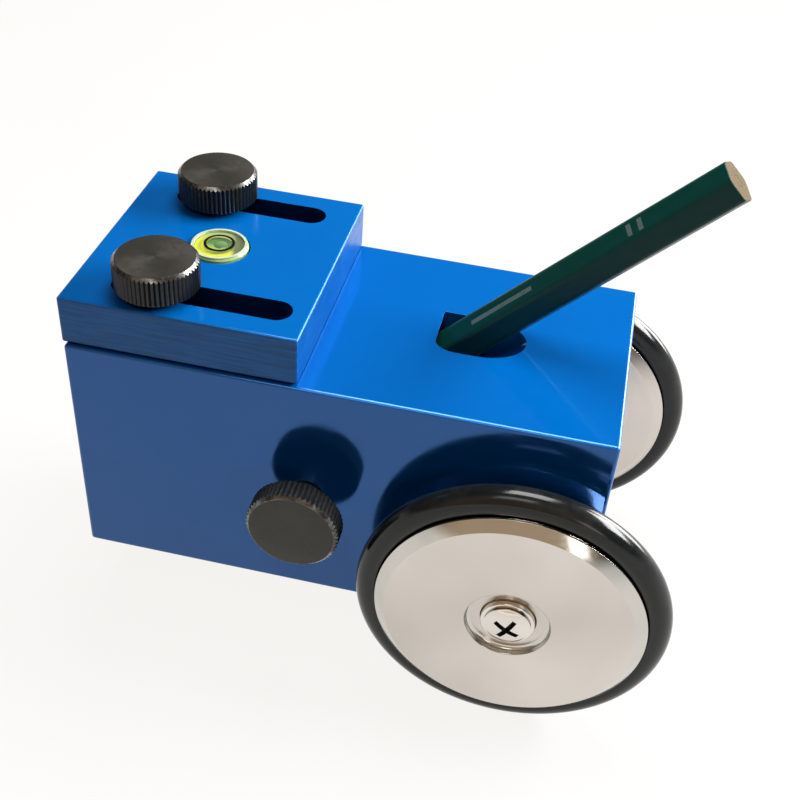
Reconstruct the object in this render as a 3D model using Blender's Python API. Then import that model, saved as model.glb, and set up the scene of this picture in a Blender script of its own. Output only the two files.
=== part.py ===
"""Trolley pencil hardness tester at its real size.

A painted steel block rolls on two rubber-tyred wheels. A wooden pencil is clamped in a 45 degree bore,
and its lead is the third point that the block stands on. A slotted weight plate with a bubble level
slides along the block's top under two thumb screws, and a knob on the near side clamps the pencil.

Frame: +X towards the wheels, +Y away from the clamp knob, +Z up. The origin lies on the surface that
the tester stands on, under the middle of its box. Dimensions below are in millimetres and degrees;
meshes are made in metres.
"""

import math

import bmesh
import bpy
from mathutils import Matrix, Vector

MM = 0.001

# Clearances between neighbouring pieces, and small chamfers
GAP = 0.3
RUNNING = 0.15
EDGE_BREAK = 0.1
STUD_CHAMFER = 0.4
DRILL_PAST = 2.0

# Block
BLOCK_LENGTH = 100.0
BLOCK_WIDTH = 49.5
BLOCK_HEIGHT = 49.5
BLOCK_EDGE = 0.7

# Wheels: distances outward are measured from the block's side
AXLE_FROM_REAR = 86.6
AXLE_ABOVE_UNDERSIDE = 13.2
TYRE_RADIUS = 29.3
TYRE_SECTION = 2.9
TYRE_PLANE = 6.8
WHEEL_INNER = 2.1
WHEEL_OUTER = 11.55
WHEEL_FACE_RADIUS = 23.1
WHEEL_RIM_RADIUS = 25.1
WHEEL_CHAMFER = 1.5
RECESS_RADIUS = 7.9
RECESS_DEPTH = 1.6
BUSH_RADIUS = 5.0
SHAFT_RADIUS = 4.0
SPACER_RADIUS = 6.5
AXLE_WASHER_RADIUS = 5.05
AXLE_WASHER_THICKNESS = 1.0
AXLE_SCREW_RADIUS = 2.0
AXLE_SCREW_DEPTH = 12.0
AXLE_HEAD_RADIUS = 4.3
AXLE_HEAD_WALL = 0.95
AXLE_HEAD_DOME = 0.6
CROSS_LENGTH = 5.6
CROSS_WIDTH = 1.0
CROSS_DEPTH = 1.0

# Weight plate and its two slots: distances along X are measured from the block's rear face
PLATE_OVERHANG = 0.4
PLATE_LENGTH = 43.7
PLATE_WIDTH = 48.3
PLATE_THICKNESS = 9.6
PLATE_EDGE = 0.5
SLOT_OFFSET = 16.5
SLOT_WIDTH = 5.9
SLOT_START = 6.9
NEAR_SLOT_END = 40.2
FAR_SLOT_END = 37.3

# Bull's-eye level in the plate
LEVEL_FROM_REAR = 21.2
LEVEL_RADIUS = 5.5
LEVEL_HEIGHT = 7.0
LEVEL_PROUD = 0.8
LEVEL_BEVEL = 0.5
LEVEL_WALL = 1.0
LEVEL_ROOF = 1.2
LEVEL_BASE_THICKNESS = 1.1

# Thumb screws on the plate
SCREW_FROM_REAR = 15.4
SCREW_OFFSET = 16.4
SCREW_HEAD_RADIUS = 7.7
SCREW_HEAD_HEIGHT = 6.0
SCREW_HEAD_CHAMFER = 0.6
SCREW_STUD_RADIUS = 2.5
SCREW_STUD_DEPTH = 13.0
SCREW_WASHER_RADIUS = 5.0
SCREW_WASHER_THICKNESS = 0.5

# Clamp in the near side: distances inward and outward are measured from the block's near side
CLAMP_FROM_REAR = 45.5
CLAMP_ABOVE_UNDERSIDE = 24.75
CLAMP_KNOB_RADIUS = 8.7
CLAMP_KNOB_BACK = 5.6
CLAMP_KNOB_FRONT = 10.45
CLAMP_KNOB_CHAMFER = 0.5
CLAMP_STUD_RADIUS = 3.0
CLAMP_PAD_RADIUS = 2.6
CLAMP_PAD_LENGTH = 3.2
CLAMP_NOSE_RADIUS = 1.3
CLAMP_NOSE_LENGTH = 1.8

# Pencil and its bore, both tilted towards +X and placed where their axes cross the block's top
PENCIL_TILT = 45.0
BORE_FROM_REAR = 71.9
BORE_RADIUS = 6.2
BORE_FLAT = 5.55
BORE_NEAR_CORNER = 3.0
BORE_FAR_CORNER = 0.4
PENCIL_FROM_REAR = 71.7
PENCIL_OFFSET = 1.9
PENCIL_FLATS = 7.4
PENCIL_CORNER = 1.2
PENCIL_ABOVE_TOP = 54.7
LEAD_RADIUS = 1.1
LEAD_BARE = 5.5
SHARPENED_RADIUS = 1.7
SHARPENED_LENGTH = 14.0

# Places that follow from the dimensions above
OVERALL_LENGTH = PLATE_OVERHANG + AXLE_FROM_REAR + TYRE_RADIUS
BLOCK_REAR = PLATE_OVERHANG - OVERALL_LENGTH / 2
BLOCK_BOTTOM = TYRE_RADIUS - AXLE_ABOVE_UNDERSIDE
BLOCK_TOP = BLOCK_BOTTOM + BLOCK_HEIGHT
BLOCK_SIDE = BLOCK_WIDTH / 2
PLATE_BOTTOM = BLOCK_TOP + GAP
RECESS_FLOOR = WHEEL_OUTER - RECESS_DEPTH

# Sides of the block with their direction along Y
SIDES = (("near", -1), ("far", 1))

# Facets around round pieces, the step of an arc, and the distance under which points are one
SMALL = 16
COARSE = 24
MEDIUM = 32
FINE = 48
TYRE_FACETS = 12
ARC_STEP = math.radians(22.5)
SAME_POINT = 1e-4


def clear_scene():
    for obj in list(bpy.data.objects):
        bpy.data.objects.remove(obj, do_unlink=True)


def principled(name, color, roughness, metallic=0.0, alpha=1.0):
    material = bpy.data.materials.new(name)
    material.use_nodes = True
    shader = material.node_tree.nodes["Principled BSDF"]
    shader.inputs["Base Color"].default_value = (*color, 1.0)
    shader.inputs["Roughness"].default_value = roughness
    shader.inputs["Metallic"].default_value = metallic
    shader.inputs["Alpha"].default_value = alpha
    return material


def pivot(name, place, rotation=(0.0, 0.0, 0.0)):
    """Empty whose local Z is the axis of the pieces parented to it; place is in millimetres."""
    empty = bpy.data.objects.new(name, None)
    empty.location = Vector(place) * MM
    empty.rotation_euler = [math.radians(angle) for angle in rotation]
    bpy.context.collection.objects.link(empty)
    return empty


def piece(name, bm, parent, material):
    """Object on a pivot. A piece with no material is a cutter, which is left out of the model."""
    bmesh.ops.recalc_face_normals(bm, faces=bm.faces)
    mesh = bpy.data.meshes.new(name)
    bm.to_mesh(mesh)
    bm.free()
    mesh.shade_smooth()
    mesh.set_sharp_from_angle(angle=math.radians(35))
    obj = bpy.data.objects.new(name, mesh)
    obj.parent = parent
    bpy.context.collection.objects.link(obj)
    if material:
        mesh.materials.append(material)
    else:
        obj.hide_render = True
        obj.display_type = "WIRE"
    return obj


def turned(name, profile, parent, material=None, facets=FINE):
    """Solid of revolution about local Z from a closed outline of (radius, height) points."""
    bm = bmesh.new()
    points = [bm.verts.new((radius * MM, 0.0, height * MM)) for radius, height in profile]
    edges = [
        bm.edges.new((first, second))
        for first, second in zip(points, points[1:] + points[:1])
        if first.co.x > 0.0 or second.co.x > 0.0
    ]
    bmesh.ops.spin(
        bm,
        geom=points + edges,
        cent=(0.0, 0.0, 0.0),
        axis=(0.0, 0.0, 1.0),
        angle=math.tau,
        steps=facets,
        use_merge=True,
    )
    bmesh.ops.remove_doubles(bm, verts=bm.verts, dist=1e-7)
    return piece(name, bm, parent, material)


def prism(name, outline, bottom, top, parent, material=None):
    """Solid with the same outline from bottom to top along local Z."""
    bm = bmesh.new()
    face = bm.faces.new([bm.verts.new((x * MM, y * MM, bottom * MM)) for x, y in outline])
    grown = bmesh.ops.extrude_face_region(bm, geom=[face])["geom"]
    tops = [item for item in grown if isinstance(item, bmesh.types.BMVert)]
    bmesh.ops.translate(bm, verts=tops, vec=(0.0, 0.0, (top - bottom) * MM))
    return piece(name, bm, parent, material)


def rounded_outline(corners):
    """Closed outline from corners (x, y, radius), each turned by an arc of its own radius."""
    outline = []
    for index, (x, y, radius) in enumerate(corners):
        corner = Vector((x, y))
        to_last = (Vector(corners[index - 1][:2]) - corner).normalized()
        to_next = (Vector(corners[(index + 1) % len(corners)][:2]) - corner).normalized()
        half_angle = to_last.angle(to_next) / 2
        center = corner + (to_last + to_next).normalized() * radius / math.sin(half_angle)
        start = corner + to_last * radius / math.tan(half_angle) - center
        sweep = start.angle_signed(corner + to_next * radius / math.tan(half_angle) - center)
        steps = max(2, round(abs(sweep) / ARC_STEP))
        for step in range(steps + 1):
            point = center + Matrix.Rotation(-sweep * step / steps, 2) @ start
            if not outline or (point - outline[-1]).length > SAME_POINT:
                outline.append(point)
    if (outline[0] - outline[-1]).length < SAME_POINT:
        outline.pop()
    return outline


def rectangle(x_low, x_high, y_low, y_high):
    return [(x_low, y_low), (x_high, y_low), (x_high, y_high), (x_low, y_high)]


def round_edges(obj, width):
    bevel = obj.modifiers.new("rounded_edges", "BEVEL")
    bevel.width = width * MM
    bevel.segments = 2
    bevel.limit_method = "ANGLE"


def combine(obj, tool, operation="DIFFERENCE"):
    boolean = obj.modifiers.new(tool.name, "BOOLEAN")
    boolean.operation = operation
    boolean.solver = "EXACT"
    boolean.object = tool


def ring_profile(inner, outer, bottom, top, chamfer=EDGE_BREAK):
    """Outline of a flat ring, with its outer edges broken by a chamfer."""
    return [
        (inner, bottom),
        (outer - chamfer, bottom),
        (outer, bottom + chamfer),
        (outer, top - chamfer),
        (outer - chamfer, top),
        (inner, top),
    ]


def rod_profile(radius, bottom, top, chamfer=0.0):
    """Outline of a solid round rod, with chamfered ends unless the chamfer is zero."""
    points = [
        (0.0, bottom),
        (radius - chamfer, bottom),
        (radius, bottom + chamfer),
        (radius, top - chamfer),
        (radius - chamfer, top),
        (0.0, top),
    ]
    return list(dict.fromkeys(points))


def knob_profile(radius, socket, bottom, socket_roof, top, chamfer):
    """Outline of a turned knob with a blind socket for its stud in the bottom."""
    return [
        (socket, bottom),
        (radius - chamfer / 2, bottom),
        (radius, bottom + chamfer / 2),
        (radius, top - chamfer),
        (radius - chamfer, top),
        (0.0, top),
        (0.0, socket_roof),
        (socket, socket_roof),
    ]


def arc_profile(radius, height, section, start, stop, steps):
    """Points of an arc in a turned outline, about (radius, height), with its angles in degrees."""
    angles = [math.radians(start + (stop - start) * step / steps) for step in range(steps + 1)]
    return [(radius + section * math.cos(a), height + section * math.sin(a)) for a in angles]


def make_block(paint):
    """The block, with its origin under its middle, and the pencil's bore through it."""
    base = pivot("block_base", (BLOCK_REAR + BLOCK_LENGTH / 2, 0.0, BLOCK_BOTTOM))
    outline = rectangle(-BLOCK_LENGTH / 2, BLOCK_LENGTH / 2, -BLOCK_SIDE, BLOCK_SIDE)
    block = prism("body_block", outline, 0.0, BLOCK_HEIGHT, base, paint)
    round_edges(block, BLOCK_EDGE)

    place = (BLOCK_REAR + BORE_FROM_REAR, 0.0, BLOCK_TOP)
    bore_axis = pivot("bore_axis", place, (0.0, PENCIL_TILT, 0.0))
    mouth = rounded_outline([
        (-BORE_FLAT, -BORE_RADIUS, BORE_NEAR_CORNER),
        (BORE_RADIUS, -BORE_RADIUS, BORE_RADIUS),
        (BORE_RADIUS, BORE_RADIUS, BORE_RADIUS),
        (-BORE_FLAT, BORE_RADIUS, BORE_FAR_CORNER),
    ])
    past = 2 * BORE_RADIUS
    reach = BLOCK_HEIGHT / math.cos(math.radians(PENCIL_TILT)) + past
    combine(block, prism("bore_cutter", mouth, -reach, past, bore_axis))
    return block


def make_axle(block, steel):
    """The shaft pressed through the block, with a screw hole in each end: local Z is the far side's."""
    axis = pivot("axle_axis", (BLOCK_REAR + AXLE_FROM_REAR, 0.0, TYRE_RADIUS), (-90.0, 0.0, 0.0))
    across = rod_profile(SHAFT_RADIUS + RUNNING, -BLOCK_WIDTH, BLOCK_WIDTH)
    combine(block, turned("axle_cutter", across, axis, facets=COARSE))

    end = BLOCK_SIDE + RECESS_FLOOR
    shaft = turned("axle_shaft", rod_profile(SHAFT_RADIUS, -end, end, EDGE_BREAK), axis, steel, COARSE)
    for side, direction in SIDES:
        reach = sorted((direction * (end + 1.0), direction * (end - AXLE_SCREW_DEPTH - GAP)))
        hole = rod_profile(AXLE_SCREW_RADIUS + RUNNING, *reach)
        combine(shaft, turned(f"{side}_shaft_end_cutter", hole, axis, facets=SMALL))


def make_plate(paint):
    """The weight plate with its slots and the level's pocket, with its origin under its middle."""
    center = BLOCK_REAR - PLATE_OVERHANG + PLATE_LENGTH / 2
    base = pivot("plate_base", (center, 0.0, PLATE_BOTTOM))
    outline = rectangle(-PLATE_LENGTH / 2, PLATE_LENGTH / 2, -PLATE_WIDTH / 2, PLATE_WIDTH / 2)
    plate = prism("weight_plate", outline, 0.0, PLATE_THICKNESS, base, paint)
    round_edges(plate, PLATE_EDGE)

    rear = BLOCK_REAR - center
    half = SLOT_WIDTH / 2
    for (side, direction), end in zip(SIDES, (NEAR_SLOT_END, FAR_SLOT_END)):
        middle = direction * SLOT_OFFSET
        corners = rectangle(rear + SLOT_START, rear + end, middle - half, middle + half)
        outline = rounded_outline([(x, y, half) for x, y in corners])
        combine(plate, prism(f"{side}_slot_cutter", outline, -1.0, PLATE_THICKNESS + 1.0, base))
    return plate


def make_level(plate, clear, liquid, white):
    """The bull's-eye level in its pocket: zero is the plate's top."""
    axis = pivot("level_axis", (BLOCK_REAR + LEVEL_FROM_REAR, 0.0, PLATE_BOTTOM + PLATE_THICKNESS))
    top = LEVEL_PROUD
    bottom = LEVEL_PROUD - LEVEL_HEIGHT
    pocket = rod_profile(LEVEL_RADIUS + GAP, bottom - GAP, LEVEL_HEIGHT)
    combine(plate, turned("level_pocket_cutter", pocket, axis, facets=MEDIUM))

    inside = LEVEL_RADIUS - LEVEL_WALL
    roof = top - LEVEL_ROOF
    housing = [
        (inside, bottom),
        (LEVEL_RADIUS, bottom),
        (LEVEL_RADIUS, top - LEVEL_BEVEL),
        (LEVEL_RADIUS - LEVEL_BEVEL, top),
        (0.0, top),
        (0.0, roof),
        (inside, roof),
    ]
    turned("level_housing", housing, axis, clear, MEDIUM)
    base_top = bottom + LEVEL_BASE_THICKNESS
    turned("level_base", rod_profile(inside - GAP, bottom, base_top), axis, white, COARSE)
    turned("level_liquid", rod_profile(inside - GAP, base_top + GAP, roof - GAP), axis, liquid, COARSE)


def make_thumb_screw(side, direction, block, black, steel):
    """A thumb screw and its washer: zero is the block's top, which the stud enters through a slot."""
    place = (BLOCK_REAR + SCREW_FROM_REAR, direction * SCREW_OFFSET, BLOCK_TOP)
    axis = pivot(f"{side}_screw_axis", place)
    washer_bottom = GAP + PLATE_THICKNESS + RUNNING
    washer_top = washer_bottom + SCREW_WASHER_THICKNESS
    washer = ring_profile(SCREW_STUD_RADIUS + RUNNING, SCREW_WASHER_RADIUS, washer_bottom, washer_top)
    turned(f"{side}_screw_washer", washer, axis, steel, COARSE)

    under = washer_top + RUNNING
    roof = under + SCREW_HEAD_HEIGHT / 2
    top = under + SCREW_HEAD_HEIGHT
    socket = SCREW_STUD_RADIUS + GAP
    head = knob_profile(SCREW_HEAD_RADIUS, socket, under, roof, top, SCREW_HEAD_CHAMFER)
    turned(f"{side}_screw_head", head, axis, black)
    stud = rod_profile(SCREW_STUD_RADIUS, -SCREW_STUD_DEPTH, roof - GAP, STUD_CHAMFER)
    turned(f"{side}_screw_stud", stud, axis, steel, SMALL)
    hole = rod_profile(SCREW_STUD_RADIUS + GAP, -SCREW_STUD_DEPTH - DRILL_PAST, DRILL_PAST)
    combine(block, turned(f"{side}_screw_hole_cutter", hole, axis, facets=SMALL))


def make_clamp(block, black, steel, bronze):
    """The side clamp: local Z points out of the block's near side, and zero is that side's face."""
    place = (BLOCK_REAR + CLAMP_FROM_REAR, -BLOCK_SIDE, BLOCK_BOTTOM + CLAMP_ABOVE_UNDERSIDE)
    axis = pivot("clamp_axis", place, (90.0, 0.0, 0.0))
    pad_face = GAP + PENCIL_FLATS / 2 - PENCIL_OFFSET - BLOCK_SIDE
    pad_back = pad_face + CLAMP_PAD_LENGTH
    pocket = pad_back - CLAMP_NOSE_LENGTH
    pad = [
        (0.0, pad_face),
        (CLAMP_PAD_RADIUS - STUD_CHAMFER, pad_face),
        (CLAMP_PAD_RADIUS, pad_face + STUD_CHAMFER),
        (CLAMP_PAD_RADIUS, pad_back),
        (CLAMP_NOSE_RADIUS + RUNNING, pad_back),
        (CLAMP_NOSE_RADIUS + RUNNING, pocket),
        (0.0, pocket),
    ]
    turned("clamp_pad", pad, axis, bronze, SMALL)

    roof = (CLAMP_KNOB_BACK + CLAMP_KNOB_FRONT) / 2
    nose = pocket + GAP
    shoulder = pad_back + GAP
    stud = [
        (0.0, nose),
        (CLAMP_NOSE_RADIUS, nose),
        (CLAMP_NOSE_RADIUS, shoulder),
        (CLAMP_STUD_RADIUS - STUD_CHAMFER, shoulder),
        (CLAMP_STUD_RADIUS, shoulder + STUD_CHAMFER),
        (CLAMP_STUD_RADIUS, roof - GAP),
        (0.0, roof - GAP),
    ]
    turned("clamp_stud", stud, axis, steel, SMALL)
    socket = CLAMP_STUD_RADIUS + GAP
    reach = (CLAMP_KNOB_BACK, roof, CLAMP_KNOB_FRONT)
    turned("clamp_knob", knob_profile(CLAMP_KNOB_RADIUS, socket, *reach, CLAMP_KNOB_CHAMFER), axis, black)
    hole = rod_profile(socket, BORE_RADIUS / 2 - BLOCK_SIDE, DRILL_PAST)
    combine(block, turned("clamp_hole_cutter", hole, axis, facets=SMALL))


def disc_profile():
    """Outline of a wheel disc: hub bore, inner face, rim with its tyre groove, outer face, recess."""
    tyre_radius = TYRE_RADIUS - TYRE_SECTION
    groove = TYRE_SECTION + GAP
    half_angle = math.degrees(math.acos((tyre_radius - WHEEL_RIM_RADIUS) / groove))
    bore = BUSH_RADIUS + RUNNING
    return [
        (bore, WHEEL_INNER),
        (WHEEL_FACE_RADIUS, WHEEL_INNER),
        (WHEEL_RIM_RADIUS, WHEEL_INNER + WHEEL_CHAMFER),
        *arc_profile(tyre_radius, TYRE_PLANE, groove, 180 + half_angle, 180 - half_angle, 4),
        (WHEEL_RIM_RADIUS, WHEEL_OUTER - WHEEL_CHAMFER),
        (WHEEL_FACE_RADIUS, WHEEL_OUTER),
        (RECESS_RADIUS, WHEEL_OUTER),
        (RECESS_RADIUS, RECESS_FLOOR),
        (bore, RECESS_FLOOR),
    ]


def make_wheel(side, direction, steel, rubber, bronze, bright):
    """A wheel with its bush, and the thrust ring, washer and screw that hold it: local Z is outward."""
    place = (BLOCK_REAR + AXLE_FROM_REAR, direction * BLOCK_SIDE, TYRE_RADIUS)
    axis = pivot(f"{side}_wheel_axis", place, (-90.0 * direction, 0.0, 0.0))
    turned(f"{side}_wheel_disc", disc_profile(), axis, steel)
    section = arc_profile(TYRE_RADIUS - TYRE_SECTION, TYRE_PLANE, TYRE_SECTION, 0.0, 360.0, TYRE_FACETS)
    turned(f"{side}_wheel_tyre", section[:-1], axis, rubber)

    bore = SHAFT_RADIUS + RUNNING
    bush = ring_profile(bore, BUSH_RADIUS, WHEEL_INNER, RECESS_FLOOR - EDGE_BREAK)
    turned(f"{side}_wheel_bush", bush, axis, bronze, COARSE)
    spacer = ring_profile(bore, SPACER_RADIUS, GAP, WHEEL_INNER - GAP)
    turned(f"{side}_wheel_spacer", spacer, axis, bronze, COARSE)
    washer_bottom = RECESS_FLOOR + RUNNING
    washer_top = washer_bottom + AXLE_WASHER_THICKNESS
    hole = AXLE_SCREW_RADIUS + RUNNING
    washer = ring_profile(hole, AXLE_WASHER_RADIUS, washer_bottom, washer_top)
    turned(f"{side}_axle_washer", washer, axis, bright, COARSE)
    make_axle_screw(side, axis, washer_top + RUNNING, bright)


def make_axle_screw(side, axis, seat, bright):
    """Pan head screw in the shaft's end: a domed head with a cross recess."""
    wall = seat + AXLE_HEAD_WALL
    crown = wall + AXLE_HEAD_DOME
    end = RECESS_FLOOR - AXLE_SCREW_DEPTH
    dome = [
        (AXLE_HEAD_RADIUS * math.cos(angle), wall + AXLE_HEAD_DOME * math.sin(angle))
        for angle in (ARC_STEP * step for step in range(4))
    ]
    outline = [
        (0.0, end),
        (AXLE_SCREW_RADIUS - STUD_CHAMFER, end),
        (AXLE_SCREW_RADIUS, end + STUD_CHAMFER),
        (AXLE_SCREW_RADIUS, seat),
        (AXLE_HEAD_RADIUS, seat),
        *dome,
        (0.0, crown),
    ]
    screw = turned(f"{side}_axle_screw", outline, axis, bright, COARSE)
    arm = CROSS_LENGTH / 2
    half = CROSS_WIDTH / 2
    cross = []
    for quarter in range(4):
        turn = Matrix.Rotation(math.radians(45.0 + 90.0 * quarter), 2)
        cross += [turn @ Vector(point) for point in ((half, half), (half, arm), (-half, arm))]
    combine(screw, prism(f"{side}_cross_cutter", cross, crown - CROSS_DEPTH, crown + 1.0, axis))


def make_pencil(lacquer, graphite):
    """The pencil: local Z runs up its axis, and zero is where that axis crosses the block's top."""
    tilt = math.radians(PENCIL_TILT)
    place = (BLOCK_REAR + PENCIL_FROM_REAR, PENCIL_OFFSET, BLOCK_TOP)
    axis = pivot("pencil_axis", place, (0.0, PENCIL_TILT, 0.0))
    tip = LEAD_RADIUS * math.tan(tilt) - BLOCK_TOP / math.cos(tilt)
    turned("pencil_lead", rod_profile(LEAD_RADIUS, tip, PENCIL_ABOVE_TOP), axis, graphite, SMALL)

    corner = PENCIL_FLATS / 2 / math.cos(math.radians(30.0))
    turns = [math.radians(60.0 * step) for step in range(6)]
    outline = rounded_outline([(corner * math.cos(a), corner * math.sin(a), PENCIL_CORNER) for a in turns])
    start = tip + LEAD_BARE
    casing = prism("pencil_casing", outline, start, PENCIL_ABOVE_TOP, axis, lacquer)
    sharpened = [
        (0.0, start - 1.0),
        (SHARPENED_RADIUS, start - 1.0),
        (SHARPENED_RADIUS, start),
        (corner, start + SHARPENED_LENGTH),
        (corner, PENCIL_ABOVE_TOP + 1.0),
        (0.0, PENCIL_ABOVE_TOP + 1.0),
    ]
    combine(casing, turned("sharpening_guide", sharpened, axis, facets=MEDIUM), "INTERSECT")
    hole = rod_profile(LEAD_RADIUS + RUNNING, start - 1.0, PENCIL_ABOVE_TOP + 1.0)
    combine(casing, turned("lead_hole_cutter", hole, axis, facets=SMALL))


def build():
    clear_scene()
    paint = principled("blue_paint", (0.0, 0.17, 0.65), 0.18)
    wheel_steel = principled("turned_steel", (0.72, 0.69, 0.65), 0.3, 1.0)
    bright = principled("bright_steel", (0.78, 0.75, 0.7), 0.2, 1.0)
    plain = principled("plain_steel", (0.45, 0.45, 0.45), 0.4, 1.0)
    black = principled("blackened_steel", (0.035, 0.032, 0.028), 0.4, 0.6)
    bronze = principled("sintered_bronze", (0.45, 0.28, 0.12), 0.5, 1.0)
    rubber = principled("black_rubber", (0.015, 0.016, 0.018), 0.35)
    clear = principled("clear_acrylic", (0.9, 1.0, 0.85), 0.05, alpha=0.35)
    liquid = principled("level_liquid", (0.65, 0.9, 0.05), 0.1, alpha=0.6)
    white = principled("white_plastic", (0.85, 0.87, 0.8), 0.4)
    lacquer = principled("green_lacquer", (0.005, 0.05, 0.035), 0.25)
    graphite = principled("graphite", (0.05, 0.05, 0.055), 0.45, 0.3)

    block = make_block(paint)
    make_axle(block, plain)
    make_level(make_plate(paint), clear, liquid, white)
    make_clamp(block, black, plain, bronze)
    for side, direction in SIDES:
        make_thumb_screw(side, direction, block, black, plain)
        make_wheel(side, direction, wheel_steel, rubber, bronze, bright)
    make_pencil(lacquer, graphite)


build()
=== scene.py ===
"""Looks of the trolley pencil hardness tester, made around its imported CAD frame.

The fine pieces take their places and outer sizes from the frame's boxes. Lengths below are in
millimetres, meshes and node graphs are in metres, and every piece is made with its own axis along
local Z, so that turning marks, knurls and grain follow the piece.
"""

import math

import bmesh
import bpy
from mathutils import Matrix, Vector


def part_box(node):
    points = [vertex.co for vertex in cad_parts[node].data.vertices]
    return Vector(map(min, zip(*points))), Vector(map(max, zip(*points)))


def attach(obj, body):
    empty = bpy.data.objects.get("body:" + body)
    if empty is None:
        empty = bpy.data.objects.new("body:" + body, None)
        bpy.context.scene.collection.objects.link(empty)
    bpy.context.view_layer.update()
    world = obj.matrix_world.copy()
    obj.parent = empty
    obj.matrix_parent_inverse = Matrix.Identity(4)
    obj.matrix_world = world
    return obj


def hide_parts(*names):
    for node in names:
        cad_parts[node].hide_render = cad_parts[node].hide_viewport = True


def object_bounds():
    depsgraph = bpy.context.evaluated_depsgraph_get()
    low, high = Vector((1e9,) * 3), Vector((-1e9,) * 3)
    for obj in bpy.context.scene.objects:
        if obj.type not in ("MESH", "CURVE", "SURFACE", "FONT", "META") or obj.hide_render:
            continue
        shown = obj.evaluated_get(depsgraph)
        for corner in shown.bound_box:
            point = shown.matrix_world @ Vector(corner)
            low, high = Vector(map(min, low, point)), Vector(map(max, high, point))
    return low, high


MM = 0.001

# Steps round turned pieces and round holes
FINE_STEPS = 160
ROUND_STEPS = 96
SMALL_STEPS = 48
PENCIL_STEPS = 180
TYRE_SECTION_STEPS = 36
GROOVE_STEPS = 12
ARC_STEP = math.radians(9.0)

# Block, plate and the holes in them
PAINT_EDGE = 0.7
PLATE_EDGE = 0.5
RIM_EDGE = 0.25
BORE_RADIUS = 6.2
BORE_FLAT = 5.55
BORE_NEAR_CORNER = 3.0
BORE_FAR_CORNER = 0.4
BORE_BEHIND_AXIS = 0.2
SHAFT_HOLE_RADIUS = 4.15
CLAMP_HOLE_RADIUS = 3.3
SCREW_HOLE_RADIUS = 2.8
SCREW_HOLE_DEPTH = 15.0
SLOT_RADIUS = 2.95
SLOT_OFFSET = 16.5
SLOT_START = 7.3
SLOT_ENDS = (40.6, 37.7)
LEVEL_POCKET_GAP = 0.3
LEVEL_POCKET_DEPTH = 6.5

# Knurled knobs; the coats are the materials of their bands: 0 turned, 1 knurled, 2 rubbed bright
KNURLS = 56
KNURL_DEPTH = 0.36
STEPS_PER_KNURL = 8
KNOB_CHAMFER = 0.7
STUD_CLEARANCE = 0.3
KNOB_COATS = [0, 0, 0, 0, 1, 1, 1, 2, 2, 0, 0, 0]

# Wheels, their washers and their screws
WHEEL_FACE_INSET = 2.0
WHEEL_CHAMFER = 1.5
RECESS_RADIUS = 7.9
RECESS_DEPTH = 1.6
BUSH_HOLE_RADIUS = 5.15
TYRE_SECTION = 2.9
TYRE_GROOVE = 3.2
TYRE_GROOVE_DEPTH = 1.9
SCREW_SHANK_RADIUS = 2.0
SCREW_HEAD_HEIGHT = 1.55
CROSS_ARM = 2.9
CROSS_HALF_WIDTH = 0.52
CROSS_DEPTH = 1.2
CROSS_TURN = 60.0
DOME_EDGE = 28.0

# Level
LEVEL_RIM = 0.75
LEVEL_BEVEL = 0.55
LENS_THICKNESS = 0.3
LENS_RISE = 0.35
RING_RADIUS = 2.68
RING_STROKE = 0.5
BUBBLE_RADIUS = 1.3
BUBBLE_HEIGHT = 0.14
BUBBLE_PLACE = (0.2, 0.25, 0.0)
BUBBLE_STEPS = 64

# Pencil
PENCIL_FLATS = 7.4
PENCIL_CORNER = 1.2
LEAD_RADIUS = 1.1
LEAD_HOLE_RADIUS = 1.15
LEAD_BARE = 5.5
SHARPENED_RADIUS = 1.7
SHARPENED_LENGTH = 14.0
CUT_END = 0.05
FOIL_FACET = 210.0

# Plain foil bars on that facet: from and to along the pencil from its upper end, and across it
FOIL_BARS = (
    (16.4, 17.3, -1.2, 1.2),
    (18.6, 19.5, -1.2, 1.2),
    (40.0, 54.0, -0.45, 0.45),
)

# Camera: its direction from the object and roll in degrees, and its distance and aim from the
# middle of the object's box
CAMERA_AZIMUTH = 9.315
CAMERA_ELEVATION = 39.271
CAMERA_ROLL = 4.631
CAMERA_DISTANCE = 230.0
CAMERA_AIM = (0.36, -2.5, -4.55)
CAMERA_LENS = 52.79

# Studio: brightness of the floor, and of the room at the sine of each elevation. The lobes added
# to the room have a direction, the cosines where they start and are full, and a color
FLOOR_RADIUS = 4.0
FLOOR_GLOW = 0.90
LIGHT_DISTANCE = 0.6
ROOM_BANDS = ((-0.10, 0.16), (-0.02, 0.80), (0.08, 0.80), (0.22, 0.06))
ROOM_LOBES = (
    ((0.63, 0.76, 0.13), 0.94, 0.985, (14.0, 14.0, 14.0, 1.0)),
    ((-0.10, -0.84, 0.55), 0.55, 0.90, (0.46, 0.335, 0.215, 1.0)),
)

# Area lights: name, azimuth and elevation in degrees, width and height in metres, and watts
LIGHTS = (
    ("window", 22.0, 31.0, (0.44, 0.17), 6.0),
    ("ceiling", 80.0, 74.0, (0.30, 0.30), 2.9),
    ("side_card", -57.0, 19.0, (0.10, 0.16), 0.12),
    ("front_card", -101.0, 60.0, (0.24, 0.16), 0.35),
)


# Node graphs


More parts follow.
